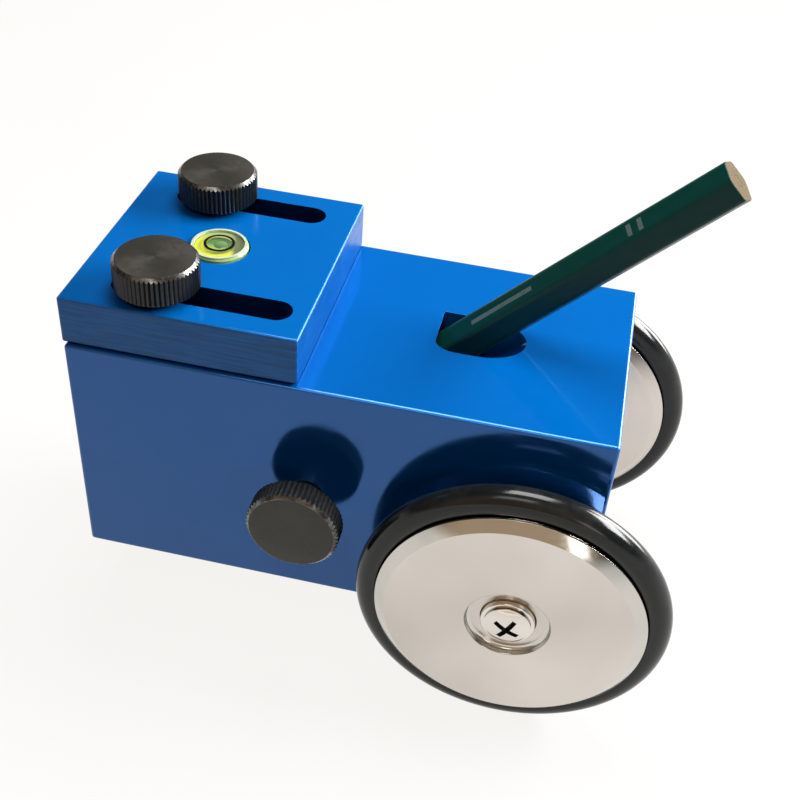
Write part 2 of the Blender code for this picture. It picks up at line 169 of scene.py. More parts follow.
class Graph:
    """Node graph of one material: a Principled shader, and helpers that feed it."""

    def __init__(self, name, settings):
        self.material = bpy.data.materials.new(name)
        self.material.use_nodes = True
        self.tree = self.material.node_tree
        self.shader = self.tree.nodes["Principled BSDF"]
        for socket, value in settings.items():
            self.shader.inputs[socket].default_value = value
        coordinates = self.add("TexCoord")
        self.place = coordinates["Object"]
        self.normal = coordinates["Normal"]

    def feed(self, socket, value):
        if isinstance(value, bpy.types.NodeSocket):
            self.tree.links.new(value, socket)
        else:
            socket.default_value = value

    def add(self, kind, inputs=None, **settings):
        """New node's outputs; inputs maps its input names or numbers to sockets or plain values."""
        node = self.tree.nodes.new("ShaderNode" + kind)
        for key, value in settings.items():
            setattr(node, key, value)
        for key, value in (inputs or {}).items():
            self.feed(node.inputs[key], value)
        return node.outputs

    def math(self, operation, first, second=0.0):
        return self.add("Math", {0: first, 1: second}, operation=operation)[0]

    def noise(self, scale, detail=2.0, roughness=0.5, place=None):
        inputs = {"Vector": place or self.place, "Scale": scale, "Detail": detail}
        return self.add("TexNoise", {**inputs, "Roughness": roughness})[0]

    def stretched(self, scale):
        """Local coordinates with each axis scaled, for marks that run one way."""
        return self.add("VectorMath", {0: self.place, 1: scale}, operation="MULTIPLY")[0]

    def spread(self, value, low, high, start=0.0, stop=1.0):
        """Value between start and stop, mapped to between low and high."""
        inputs = {"Value": value, "From Min": start, "From Max": stop, "To Min": low, "To Max": high}
        return self.add("MapRange", inputs)[0]

    def mix(self, factor, first, second):
        inputs = {0: factor, 6: first, 7: second}
        return self.add("Mix", inputs, data_type="RGBA")[2]

    def axes(self, vector=None):
        return self.add("SeparateXYZ", {0: vector or self.place})

    def from_axis(self):
        """Distance from local Z."""
        x, y, _ = self.axes()
        flat = self.add("CombineXYZ", {0: x, 1: y})[0]
        return self.add("VectorMath", {0: flat}, operation="LENGTH")[1]

    def inside(self, value, low, high):
        """One between low and high, and zero elsewhere."""
        above = self.math("GREATER_THAN", value, low)
        return self.math("MULTIPLY", above, self.math("LESS_THAN", value, high))

    def rings(self, pitch, place=None):
        """Uneven concentric marks about local Z."""
        radius = self.from_axis()
        line = self.add("CombineXYZ", {0: radius})[0]
        return self.noise(1.0 / (pitch * MM), 3.0, 0.6, line)

    def bump(self, height, depth, normal=None):
        """Relief with its depth in millimetres."""
        inputs = {"Height": height, "Distance": depth * MM, "Strength": 1.0}
        if normal:
            inputs["Normal"] = normal
        return self.add("Bump", inputs)[0]

    def tangent(self):
        """Stretches highlights along turning marks round local Z."""
        around = self.add("Tangent", direction_type="RADIAL", axis="Z")[0]
        self.feed(self.shader.inputs["Tangent"], around)

    def finish(self, **sockets):
        """Feeds the shader: socket names are given in lower case with underscores."""
        for name, value in sockets.items():
            self.feed(self.shader.inputs[name.replace("_", " ").title()], value)
        return self.material


def rgb(red, green, blue):
    return (red, green, blue, 1.0)


def blue_paint():
    """Gloss stoving paint over milled steel: orange peel, and mill marks on the upright sides."""
    g = Graph("gloss_blue_paint", {"Metallic": 0.28, "Specular IOR Level": 0.5})
    mottle = g.noise(45.0, 3.0)
    color = g.mix(mottle, rgb(0.0, 0.15, 0.56), rgb(0.0, 0.17, 0.62))
    roughness = g.spread(g.noise(260.0, 2.0), 0.07, 0.15, 0.3, 0.7)
    peel = g.bump(g.noise(700.0, 2.0), 0.004)
    marks = g.noise(1.0, 4.0, 0.6, g.stretched((60.0, 60.0, 2600.0)))
    _, across, _ = g.axes(g.normal)
    upright = g.math("GREATER_THAN", g.math("ABSOLUTE", across), 0.7)
    marked = g.bump(g.math("MULTIPLY", marks, upright), 0.005, peel)
    return g.finish(base_color=color, roughness=roughness, normal=marked)


def milled_paint():
    """The same paint on the weight plate: darker along the mill marks on its upright sides, and painted
    shade over its near and far sides.
    """
    g = Graph("milled_blue_paint", {"Metallic": 0.26, "Specular IOR Level": 0.4})
    marks = g.noise(1.0, 4.0, 0.7, g.stretched((110.0, 110.0, 2600.0)))
    _, across, up = g.axes(g.normal)
    upright = g.math("LESS_THAN", g.math("ABSOLUTE", up), 0.7)
    # The near and far sides get painted shade, a darker blue
    side = g.math("GREATER_THAN", g.math("ABSOLUTE", across), 0.7)
    grooves = g.math("MULTIPLY", g.spread(marks, 1.0, 0.0, 0.38, 0.62), upright)
    mottle = g.mix(g.noise(45.0, 3.0), rgb(0.0, 0.15, 0.54), rgb(0.0, 0.17, 0.60))
    marks_and_side_shade = g.math("ADD", g.math("MULTIPLY", grooves, 0.45), g.math("MULTIPLY", side, 0.25))
    color = g.mix(marks_and_side_shade, mottle, rgb(0.0, 0.05, 0.13))
    shine = g.spread(g.noise(260.0, 2.0), 0.10, 0.20, 0.3, 0.7)
    roughness = g.math("ADD", shine, g.math("MULTIPLY", upright, 0.18))
    peel = g.bump(g.noise(700.0, 2.0), 0.004)
    marked = g.bump(g.math("MULTIPLY", marks, upright), 0.05, peel)
    return g.finish(base_color=color, roughness=roughness, normal=marked)


def slot_painted_shade():
    """Painted shade inside the plate's slots: a dark blue coat that stands in for the shadow in them.
    """
    g = Graph("painted_slot_shade", {"Metallic": 0.2, "Specular IOR Level": 0.3})
    color = g.mix(g.noise(160.0, 3.0), rgb(0.0, 0.022, 0.085), rgb(0.0, 0.030, 0.12))
    relief = g.bump(g.noise(1.0, 3.0, 0.6, g.stretched((900.0, 900.0, 80.0))), 0.01)
    return g.finish(base_color=color, roughness=g.spread(g.noise(400.0), 0.25, 0.4), normal=relief)


def blackened_steel():
    """Black oxide on turned steel: brownish, with turning rings on the faces."""
    g = Graph("blackened_steel", {"Metallic": 0.45, "Anisotropic": 0.5})
    patch = g.noise(320.0, 3.0)
    color = g.mix(patch, rgb(0.040, 0.037, 0.030), rgb(0.055, 0.051, 0.042))
    roughness = g.spread(g.noise(900.0, 2.0), 0.36, 0.48, 0.3, 0.7)
    relief = g.bump(g.rings(0.42), 0.004)
    g.tangent()
    return g.finish(base_color=color, roughness=roughness, normal=relief)


def knurled_steel():
    """The knurled sides of the knobs: the same finish, darker, and darker still towards the bottoms of
    the grooves.
    """
    g = Graph("knurled_blackened_steel", {"Metallic": 0.4})
    patch = g.noise(500.0, 3.0)
    depth = g.spread(g.from_axis(), 0.25, 1.0, 7.4 * MM, 8.3 * MM)
    color = g.mix(g.math("MULTIPLY", patch, depth), rgb(0.010, 0.010, 0.011), rgb(0.045, 0.045, 0.045))
    roughness = g.spread(g.noise(1200.0, 2.0), 0.3, 0.42, 0.3, 0.7)
    relief = g.bump(g.noise(3000.0, 2.0), 0.006)
    return g.finish(base_color=color, roughness=roughness, normal=relief)


def worn_edge():
    """Chamfers of the knobs, where handling has rubbed the black down to steel."""
    g = Graph("worn_black_edge", {"Metallic": 0.9})
    rubbed = g.spread(g.noise(900.0, 3.0, 0.6), 0.0, 1.0, 0.35, 0.65)
    color = g.mix(rubbed, rgb(0.045, 0.043, 0.041), rgb(0.20, 0.195, 0.185))
    return g.finish(base_color=color, roughness=g.spread(rubbed, 0.30, 0.20))


def turned_steel():
    """Faced steel of the wheels: fine rings, deeper ones close to the recess."""
    g = Graph("turned_steel", {"Metallic": 1.0, "Anisotropic": 0.45})
    haze = g.spread(g.noise(32.0, 2.0), 0.0, 1.0, 0.3, 0.7)
    color = g.mix(haze, rgb(0.55, 0.50, 0.46), rgb(0.69, 0.645, 0.60))
    roughness = g.spread(g.rings(1.6), 0.19, 0.28, 0.3, 0.7)
    radius = g.from_axis()
    nearness = g.spread(radius, 1.0, 0.12, RECESS_RADIUS * MM, 2.2 * RECESS_RADIUS * MM)
    relief = g.bump(g.math("MULTIPLY", g.rings(0.55), nearness), 0.024)
    g.tangent()
    return g.finish(base_color=color, roughness=roughness, normal=relief)


def polished_steel(name, low, high, roughness, pitch):
    """Bright steel or nickel with faint turning marks."""
    g = Graph(name, {"Metallic": 1.0, "Anisotropic": 0.3})
    color = g.mix(g.noise(200.0, 3.0), low, high)
    shine = g.spread(g.noise(900.0, 2.0), roughness, roughness * 1.7, 0.3, 0.7)
    relief = g.bump(g.rings(pitch), 0.003)
    g.tangent()
    return g.finish(base_color=color, roughness=shine, normal=relief)


def shadowed_steel():
    """Painted shade inside the screws' cross recesses: dark steel that stands in for their shadow."""
    g = Graph("cross_recess_painted_shade", {"Metallic": 0.8})
    color = g.mix(g.noise(900.0, 3.0), rgb(0.03, 0.026, 0.022), rgb(0.06, 0.05, 0.042))
    return g.finish(base_color=color, roughness=g.spread(g.noise(1500.0), 0.4, 0.6))


def plain_steel():
    """Oiled machine steel of the shaft, studs and washers."""
    g = Graph("plain_machine_steel", {"Metallic": 1.0})
    color = g.mix(g.noise(400.0, 4.0), rgb(0.22, 0.22, 0.225), rgb(0.42, 0.41, 0.40))
    shine = g.spread(g.noise(900.0, 2.0), 0.28, 0.45, 0.3, 0.7)
    relief = g.bump(g.noise(2500.0, 2.0), 0.004)
    return g.finish(base_color=color, roughness=shine, normal=relief)


def sintered_bronze():
    """Porous bearing bronze."""
    g = Graph("sintered_bronze_bearing", {"Metallic": 1.0})
    color = g.mix(g.noise(900.0, 4.0), rgb(0.36, 0.21, 0.09), rgb(0.55, 0.36, 0.17))
    pores = g.noise(3500.0, 2.0)
    shine = g.spread(pores, 0.35, 0.6, 0.3, 0.7)
    return g.finish(base_color=color, roughness=shine, normal=g.bump(pores, 0.01))


def black_rubber():
    """Nitrile rubber of the O-rings: glossy, with a trace of dust."""
    g = Graph("nitrile_rubber", {"Specular IOR Level": 0.38})
    dust = g.spread(g.noise(160.0, 4.0, 0.6), 0.0, 1.0, 0.45, 0.8)
    color = g.mix(dust, rgb(0.010, 0.011, 0.012), rgb(0.035, 0.034, 0.030))
    shine = g.spread(g.noise(500.0, 3.0), 0.10, 0.19, 0.3, 0.7)
    return g.finish(base_color=color, roughness=shine, normal=g.bump(g.noise(1500.0, 2.0), 0.003))


def rim_acrylic():
    """Edge-lit acrylic of the level's rim, greener lower down."""
    g = Graph("edge_lit_acrylic", {"Transmission Weight": 0.25, "IOR": 1.49})
    _, _, height = g.axes()
    color = g.mix(g.noise(300.0, 2.0), rgb(0.62, 0.74, 0.42), rgb(0.85, 0.92, 0.70))
    upper = g.spread(height, 0.0, 1.0, -0.5 * MM, 0.0)
    tinted = g.mix(upper, rgb(0.50, 0.75, 0.25), color)
    return g.finish(base_color=tinted, roughness=g.spread(g.noise(700.0), 0.06, 0.14, 0.3, 0.7))


def lens_acrylic():
    """Clear window of the level."""
    g = Graph("clear_level_lens", {"Alpha": 0.04, "IOR": 1.49})
    color = g.mix(g.noise(150.0, 2.0), rgb(0.75, 0.88, 0.70), rgb(0.92, 1.0, 0.88))
    return g.finish(base_color=color, roughness=g.spread(g.noise(600.0), 0.02, 0.06, 0.3, 0.7))


def level_fluid():
    """Fluorescent liquid with painted light and shade: lemon where lit at the front, khaki behind,
    painted shade in olive at one side, green in the ring, and a faint glow.
    """
    g = Graph("fluorescent_liquid", {"Specular IOR Level": 0.4, "Emission Strength": 0.05})
    x, y, _ = g.axes()
    swirl = g.spread(g.noise(420.0, 2.0), -0.6 * MM, 0.6 * MM)
    behind = g.spread(g.math("ADD", y, swirl), 0.0, 1.0, 0.6 * MM, 3.2 * MM)
    aside = g.math("ADD", x, g.math("MULTIPLY", y, 0.3))
    shaded = g.spread(g.math("ADD", aside, swirl), 0.0, 1.0, 2.2 * MM, 3.1 * MM)
    color = g.mix(behind, rgb(0.62, 0.64, 0.010), rgb(0.34, 0.38, 0.12))
    color = g.mix(shaded, color, rgb(0.10, 0.12, 0.035))
    middle_to_far = g.spread(y, 0.0, 1.0, -0.9 * MM, 0.3 * MM)
    greener = g.mix(middle_to_far, rgb(0.30, 0.42, 0.05), rgb(0.05, 0.18, 0.02))
    ringed = g.math("LESS_THAN", g.from_axis(), RING_RADIUS * MM)
    color = g.mix(ringed, color, greener)
    shine = g.spread(g.noise(700.0), 0.05, 0.09)
    return g.finish(base_color=color, emission_color=color, roughness=shine)


def ring_ink():
    """Black ring printed on the lens."""
    g = Graph("ring_ink", {"Specular IOR Level": 0.1})
    color = g.mix(g.noise(1500.0, 2.0), rgb(0.002, 0.004, 0.002), rgb(0.006, 0.010, 0.005))
    return g.finish(base_color=color, roughness=g.spread(g.noise(900.0), 0.3, 0.5))


def bubble_shine():
    """The air bubble: glossy, with painted shade in dark green in front and painted light, paler,
    behind.
    """
    g = Graph("bubble_shine", {"Specular IOR Level": 0.9})
    _, y, _ = g.axes()
    behind = g.spread(y, 0.0, 1.0, -1.2 * MM, 1.4 * MM)
    color = g.mix(behind, rgb(0.04, 0.13, 0.02), rgb(0.22, 0.36, 0.12))
    return g.finish(base_color=color, roughness=g.spread(g.noise(900.0), 0.03, 0.08))


def white_plastic():
    """Moulded disc that closes the level."""
    g = Graph("moulded_white_plastic", {})
    color = g.mix(g.noise(200.0, 3.0), rgb(0.78, 0.80, 0.73), rgb(0.86, 0.88, 0.82))
    return g.finish(base_color=color, roughness=0.4, normal=g.bump(g.noise(1500.0), 0.006))


def green_lacquer():
    """Pencil lacquer with plain foil bars on one facet, worn a little."""
    g = Graph("green_pencil_lacquer", {"Specular IOR Level": 0.2})
    x, y, along = g.axes()
    cosine, sine = math.cos(math.radians(FOIL_FACET)), math.sin(math.radians(FOIL_FACET))
    outward = g.math("ADD", g.math("MULTIPLY", x, cosine), g.math("MULTIPLY", y, sine))
    aside = g.math("SUBTRACT", g.math("MULTIPLY", y, cosine), g.math("MULTIPLY", x, sine))
    on_facet = g.math("GREATER_THAN", outward, PENCIL_FLATS / 2 * 0.97 * MM)
    bars = 0.0
    from_end = g.math("SUBTRACT", pencil_top, along)
    for start, stop, low, high in FOIL_BARS:
        lengthwise = g.inside(from_end, start * MM, stop * MM)
        bar = g.math("MULTIPLY", lengthwise, g.inside(aside, low * MM, high * MM))
        bars = g.math("ADD", bars, bar)
    wear = g.spread(g.noise(1800.0, 3.0, 0.6), 0.5, 1.0, 0.30, 0.45)
    foil = g.math("MULTIPLY", g.math("MULTIPLY", bars, on_facet), wear)
    streak = g.noise(1.0, 3.0, 0.5, g.stretched((900.0, 900.0, 60.0)))
    lacquer = g.mix(streak, rgb(0.002, 0.052, 0.042), rgb(0.003, 0.074, 0.058))
    color = g.mix(g.math("MULTIPLY", foil, 0.8), lacquer, rgb(0.20, 0.26, 0.24))
    shine = g.spread(g.noise(500.0, 2.0), 0.34, 0.44, 0.3, 0.7)
    return g.finish(base_color=color, roughness=shine, normal=g.bump(streak, 0.004))


def cedar():
    """Wood of the pencil: grain along it, and a darker cut end."""
    g = Graph("pencil_wood", {"Specular IOR Level": 0.03})
    grain = g.noise(1.0, 4.0, 0.6, g.stretched((1300.0, 700.0, 90.0)))
    blotch = g.noise(500.0, 3.0)
    pale = g.mix(g.spread(grain, 0.0, 1.0, 0.35, 0.65), rgb(0.17, 0.11, 0.07), rgb(0.32, 0.24, 0.165))
    color = g.mix(g.math("MULTIPLY", blotch, 0.5), pale, rgb(0.26, 0.17, 0.12))
    _, _, along = g.axes()
    at_cut_end = g.math("GREATER_THAN", along, pencil_top - CUT_END * MM)
    end = g.mix(g.noise(1400.0, 3.0), rgb(0.12, 0.085, 0.047), rgb(0.19, 0.145, 0.085))
    color = g.mix(at_cut_end, color, end)
    return g.finish(base_color=color, roughness=g.spread(grain, 0.6, 0.8), normal=g.bump(grain, 0.02))


def graphite():
    """Lead: grey and slightly shiny."""
    g = Graph("graphite_lead", {"Metallic": 0.25})
    color = g.mix(g.noise(1200.0, 3.0), rgb(0.04, 0.04, 0.045), rgb(0.10, 0.10, 0.105))
    relief = g.bump(g.noise(2500.0, 2.0), 0.01)
    return g.finish(base_color=color, roughness=g.spread(g.noise(900.0), 0.35, 0.5), normal=relief)


def pale_floor():
    """Even, pale light table."""
    g = Graph("pale_floor", {"Specular IOR Level": 0.0, "Emission Strength": FLOOR_GLOW})
    color = g.mix(g.noise(12.0, 3.0), rgb(0.08, 0.08, 0.08), rgb(0.10, 0.10, 0.10))
    return g.finish(base_color=color, emission_color=rgb(1.0, 0.985, 0.96), roughness=0.6)


# Mesh helpers


def rounded(corners):
    """Closed outline from corners (x, y, radius), each turned by an arc of its own radius."""
    outline = []
    for index, (x, y, radius) in enumerate(corners):
        corner = Vector((x, y))
        if radius == 0.0:
            outline.append(corner)
            continue
        to_last = (Vector(corners[index - 1][:2]) - corner).normalized()
        to_next = (Vector(corners[(index + 1) % len(corners)][:2]) - corner).normalized()
        half_angle = to_last.angle(to_next) / 2
        center = corner + (to_last + to_next).normalized() * radius / math.sin(half_angle)
        start = corner + to_last * radius / math.tan(half_angle) - center
        sweep = start.angle_signed(corner + to_next * radius / math.tan(half_angle) - center)
        steps = max(2, round(abs(sweep) / ARC_STEP))
        for step in range(steps + 1):
            point = center + Matrix.Rotation(-sweep * step / steps, 2) @ start
            if not outline or (point - outline[-1]).length > 1e-3:
                outline.append(point)
    if (outline[0] - outline[-1]).length < 1e-3:
        outline.pop()
    return outline


def rectangle(x_low, x_high, y_low, y_high, radius=0.0):
    """Corners of a rectangle, as rounded() takes them."""
    corners = [(x_low, y_low), (x_high, y_low), (x_high, y_high), (x_low, y_high)]
    return [(x, y, radius) for x, y in corners]


def new_object(name, bm, place, materials, crease=35.0):
    """Object with the mesh, smooth but for edges sharper than the crease, at its place."""
    bmesh.ops.recalc_face_normals(bm, faces=bm.faces)
    mesh = bpy.data.meshes.new(name)
    bm.to_mesh(mesh)
    bm.free()
    mesh.shade_smooth()
    mesh.set_sharp_from_angle(angle=math.radians(crease))
    for material in materials:
        mesh.materials.append(material)
    obj = bpy.data.objects.new(name, mesh)
    obj.matrix_world = place
    bpy.context.collection.objects.link(obj)
    return obj


def at(place, axis=(0.0, 0.0, 1.0), side=(1.0, 0.0, 0.0)):
    """Matrix that puts local Z along axis and local X close to side, at a place in metres."""
    up = Vector(axis).normalized()
    across = up.cross(Vector(side)).normalized()
    along = across.cross(up)
    turn = Matrix((along, across, up)).transposed().to_4x4()
    return Matrix.Translation(place) @ turn


def lathe(name, place, materials, profile, steps, coats=None, closed=False, crease=35.0):
    """Solid of revolution about local Z.

    The profile is a list of (radius, height) points, or a function that gives it for an angle. A
    closed profile is a ring's; an open one starts and ends on the axis. Coats are the material
    numbers of its bands, one for each point.
    """
    bm = bmesh.new()
    poles = {}
    columns = []
    for step in range(steps):
        angle = math.tau * step / steps
        column = []
        for index, (radius, height) in enumerate(profile(angle) if callable(profile) else profile):
            if radius > 0.0 or index not in poles:
                spot = (radius * math.cos(angle) * MM, radius * math.sin(angle) * MM, height * MM)
                poles[index] = bm.verts.new(spot)
            column.append(poles[index])
        columns.append(column)
    rows = len(columns[0]) if closed else len(columns[0]) - 1
    for first, second in zip(columns, columns[1:] + columns[:1]):
        for row in range(rows):
            after = (row + 1) % len(first)
            corners = dict.fromkeys((first[row], second[row], second[after], first[after]))
            face = bm.faces.new(list(corners))
            if coats:
                face.material_index = coats[row]
    return new_object(name, bm, place, materials, crease)


def prism(name, place, materials, outline, bottom, top, taper=1.0, coat=0):
    """Solid with the outline at the top, scaled by the taper at the bottom, in one of its coats."""
    bm = bmesh.new()
    low = [bm.verts.new((x * taper * MM, y * taper * MM, bottom * MM)) for x, y in outline]
    high = [bm.verts.new((x * MM, y * MM, top * MM)) for x, y in outline]
    bm.faces.new(low)
    bm.faces.new(high)
    for index, corner in enumerate(low):
        bm.faces.new((low[index - 1], corner, high[index], high[index - 1]))
    for face in bm.faces:
        face.material_index = coat
    return new_object(name, bm, place, materials)


def circle(radius, steps):
    """Outline of a circle round the origin."""
    turns = [math.tau * step / steps for step in range(steps)]
    return [(radius * math.cos(turn), radius * math.sin(turn)) for turn in turns]


def ease(obj, width, segments, angle=30.0):
    """Rounds the edges sharper than the angle, and keeps the faces beside them flat."""
    bevel = obj.modifiers.new("eased_edges", "BEVEL")
    bevel.width = width * MM
    bevel.segments = segments
    bevel.limit_method = "ANGLE"
    bevel.angle_limit = math.radians(angle)
    flatten = obj.modifiers.new("flat_faces", "WEIGHTED_NORMAL")
    flatten.weight = 100
    flatten.keep_sharp = True


def cut(obj, *tools):
    """Cuts the tools out of the object for good, so that nothing but the piece is left."""
    for tool in tools:
        boolean = obj.modifiers.new(tool.name, "BOOLEAN")
        boolean.solver = "EXACT"
        boolean.object = tool
    bake_modifiers(obj)
    for tool in tools:
        bpy.data.objects.remove(tool, do_unlink=True)


def bake_modifiers(obj):
    """Applies the object's modifiers to its mesh."""
    bpy.context.view_layer.update()
    shown = obj.evaluated_get(bpy.context.evaluated_depsgraph_get())
    mesh = bpy.data.meshes.new_from_object(shown)
    obj.modifiers.clear()
    obj.data = mesh


def stand_for(obj, body, slot, *nodes):
    """Lets the piece ride on the body, in place of the CAD nodes. The slot argument is not used."""
    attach(obj, body)
    if nodes:
        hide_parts(*nodes)


def middle(node):
    """Middle of a CAD node's box."""
    low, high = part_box(node)
    return (low + high) / 2


# Pieces


def make_block(paint):
    """The block with its pencil bore, its cross holes and the tapped holes under the plate."""
    low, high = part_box("body_block")
    size = (high - low) / MM
    outline = [corner[:2] for corner in rectangle(-size.x / 2, size.x / 2, -size.y / 2, size.y / 2)]
    place = at(((low.x + high.x) / 2, (low.y + high.y) / 2, low.z))
    block = prism("painted_block", place, [paint], outline, 0.0, size.z)
    ease(block, PAINT_EDGE, 4)
    bake_modifiers(block)

    pencil = middle("pencil_lead")
    foot_x = pencil.x - (pencil.z - high.z) + BORE_BEHIND_AXIS * MM
    mouth = rounded([
        (-BORE_FLAT, -BORE_RADIUS, BORE_NEAR_CORNER),
        (BORE_RADIUS, -BORE_RADIUS, BORE_RADIUS),
        (BORE_RADIUS, BORE_RADIUS, BORE_RADIUS),
        (-BORE_FLAT, BORE_RADIUS, BORE_FAR_CORNER),
    ])
    tilted = at((foot_x, 0.0, high.z), (1.0, 0.0, 1.0))
    reach = size.z * math.sqrt(2.0) + 2 * BORE_RADIUS
    tools = [prism("bore", tilted, [paint], mouth, -reach, 2 * BORE_RADIUS)]

    across = (0.0, -1.0, 0.0)
    axle = middle("axle_shaft")
    half = size.y / 2 + 1.0
    shaft_hole = circle(SHAFT_HOLE_RADIUS, SMALL_STEPS)
    tools.append(prism("axle_hole", at(axle, across), [paint], shaft_hole, -half, half))
    knob = middle("clamp_stud")
    clamp = at((knob.x, 0.0, knob.z), across)
    tools.append(prism("clamp_hole", clamp, [paint], circle(CLAMP_HOLE_RADIUS, SMALL_STEPS), 0.0, half))
    for side in ("near", "far"):
        stud = middle(f"{side}_screw_stud")
        spot = at((stud.x, stud.y, high.z))
        hole = circle(SCREW_HOLE_RADIUS, SMALL_STEPS)
        tools.append(prism(f"{side}_hole", spot, [paint], hole, -SCREW_HOLE_DEPTH, 1.0))
    cut(block, *tools)
    ease(block, RIM_EDGE, 2, 40.0)
    stand_for(block, "tester_body", "blue_paint", "body_block")


def make_plate(paint, slot_shade):
    """The weight plate with its two slots and the level's pocket."""
    low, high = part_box("weight_plate")
    size = (high - low) / MM
    outline = [corner[:2] for corner in rectangle(-size.x / 2, size.x / 2, -size.y / 2, size.y / 2)]
    place = at(((low.x + high.x) / 2, (low.y + high.y) / 2, low.z))
    paints = [paint, slot_shade]
    plate = prism("painted_weight_plate", place, paints, outline, 0.0, size.z)
    ease(plate, PLATE_EDGE, 4)
    bake_modifiers(plate)

    tools = []
    for name, direction, end in (("near", -1, SLOT_ENDS[0]), ("far", 1, SLOT_ENDS[1])):
        across = direction * SLOT_OFFSET
        start, stop = SLOT_START - size.x / 2, end - size.x / 2
        sides = (across - SLOT_RADIUS, across + SLOT_RADIUS)
        slot = rounded(rectangle(start, stop, *sides, SLOT_RADIUS - 1e-3))
        # The slot walls take the second coat, the painted shade of the slots
        tools.append(prism(f"{name}_slot", place, paints, slot, -1.0, size.z + 1.0, coat=1))
    level_low, level_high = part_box("level_housing")
    pocket = circle((level_high.x - level_low.x) / 2 / MM + LEVEL_POCKET_GAP, ROUND_STEPS)
    spot = middle("level_housing")
    bottom = size.z - LEVEL_POCKET_DEPTH
    tools.append(prism("pocket", at((spot.x, spot.y, low.z)), [paint], pocket, bottom, size.z + 1.0))
    cut(plate, *tools)
    ease(plate, RIM_EDGE, 2, 40.0)
    stand_for(plate, "sliding_weight", "blue_paint", "weight_plate")


def make_level():
    """Bull's-eye level: rim, window, liquid, printed ring and bubble."""
    low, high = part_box("level_housing")
    center = (low + high) / 2
    top = at((center.x, center.y, high.z))
    radius = (high.x - low.x) / 2 / MM
    depth = (high.z - low.z) / MM
    bore = radius - LEVEL_RIM
    rim = rounded([
        (bore, -depth, 0.0),
        (radius, -depth, 0.2),
        (radius, -LEVEL_BEVEL, 0.12),
        (radius - LEVEL_BEVEL, 0.0, 0.12),
        (bore + 0.25, 0.0, 0.10),
        (bore, -0.25, 0.10),
    ])
    body = lathe("level_rim", top, [rim_acrylic()], rim, ROUND_STEPS, closed=True)
    stand_for(body, "sliding_weight", "clear_acrylic", "level_housing")

    lens_edge = bore - 0.02
    lens = [
        (lens_edge * share, LENS_RISE * (1.0 - share**2) - 0.12)
        for share in (0.0, 0.15, 0.3, 0.45, 0.6, 0.75, 0.9, 1.0)
    ]
    lens += [(lens_edge, -LENS_THICKNESS - 0.12), (0.0, -LENS_THICKNESS - 0.12)]
    window = lathe("level_window", top, [lens_acrylic()], lens, ROUND_STEPS)
    stand_for(window, "sliding_weight", "clear_acrylic")

    surface = -LENS_THICKNESS - 0.15
    fluid_edge = bore - 0.04
    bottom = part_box("level_liquid")[0].z - high.z
    fluid = [(0.0, surface), (fluid_edge - 0.1, surface), (fluid_edge, surface - 0.1)]
    fluid += [(fluid_edge, bottom / MM), (0.0, bottom / MM)]
    liquid = lathe("level_fluid", top, [level_fluid()], fluid, ROUND_STEPS)
    stand_for(liquid, "sliding_weight", "level_liquid", "level_liquid")

    half = RING_STROKE / 2
    lift = LENS_RISE * (1.0 - (RING_RADIUS / lens_edge) ** 2) - 0.12
    ring = [(RING_RADIUS - half, lift - 0.04), (RING_RADIUS + half, lift - 0.08)]
    ring += [(RING_RADIUS + half, lift), (RING_RADIUS - half, lift + 0.04)]
    mark = lathe("level_ring", top, [ring_ink()], ring, ROUND_STEPS, closed=True)
    stand_for(mark, "sliding_weight", "level_liquid")

    dome = [(0.0, surface + 0.01)]
    for step in range(10):
        turn = ARC_STEP * step
        dome.append((BUBBLE_RADIUS * math.cos(turn), surface + 0.02 + BUBBLE_HEIGHT * math.sin(turn)))
    dome.append((0.0, surface + 0.02 + BUBBLE_HEIGHT))
    bubble_place = top @ Matrix.Translation(Vector(BUBBLE_PLACE) * MM)
    bubble = lathe("level_bubble", bubble_place, [bubble_shine()], dome, BUBBLE_STEPS)
    stand_for(bubble, "sliding_weight", "level_liquid")


def knurled_profile(radius, top, socket, roof):
    """Profile of a knurled knob for each angle: V grooves that run into the chamfers."""

    def profile(angle):
        phase = (angle / math.tau * KNURLS) % 1.0
        valley = abs(2.0 * phase - 1.0) ** 1.6
        side = radius - KNURL_DEPTH * valley
        face = radius - KNOB_CHAMFER
        drop = side - face
        return [
            (0.0, roof),
            (socket, roof),
            (socket, 0.2),
            (socket + 0.2, 0.0),
            (face - 0.1, 0.0),
            (side, (drop + 0.1) * 0.7),
            (side, top / 2),
            (side, top - drop),
            (face + 0.04, top - 0.02),
            (face - 0.06, top),
            (face * 0.55, top - 0.02),
            (face * 0.12, top - 0.03),
            (0.0, top - 0.03),
        ]

    return profile


def make_knob(name, node, stud, axis, body, steels):
    """Knurled knob along its axis, over its stud's end."""
    low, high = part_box(node)
    direction = Vector(axis)
    reach = abs((high - low).dot(direction)) / MM
    radius = max(high - low) / 2 / MM
    center = (low + high) / 2
    stud_low, stud_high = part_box(stud)
    stud_end = max(stud_low.dot(direction), stud_high.dot(direction)) / MM
    stud_radius = (stud_high.x - stud_low.x) / 2 / MM
    base = center - direction * reach / 2 * MM
    roof = stud_end - base.dot(direction) / MM + STUD_CLEARANCE
    socket = stud_radius + STUD_CLEARANCE
    shape = knurled_profile(radius, reach, socket, roof)
    place = at(base, axis)
    steps = KNURLS * STEPS_PER_KNURL
    knob = lathe(name, place, steels, shape, steps, KNOB_COATS, crease=32.0)
    stand_for(knob, body, "blackened_steel", node)


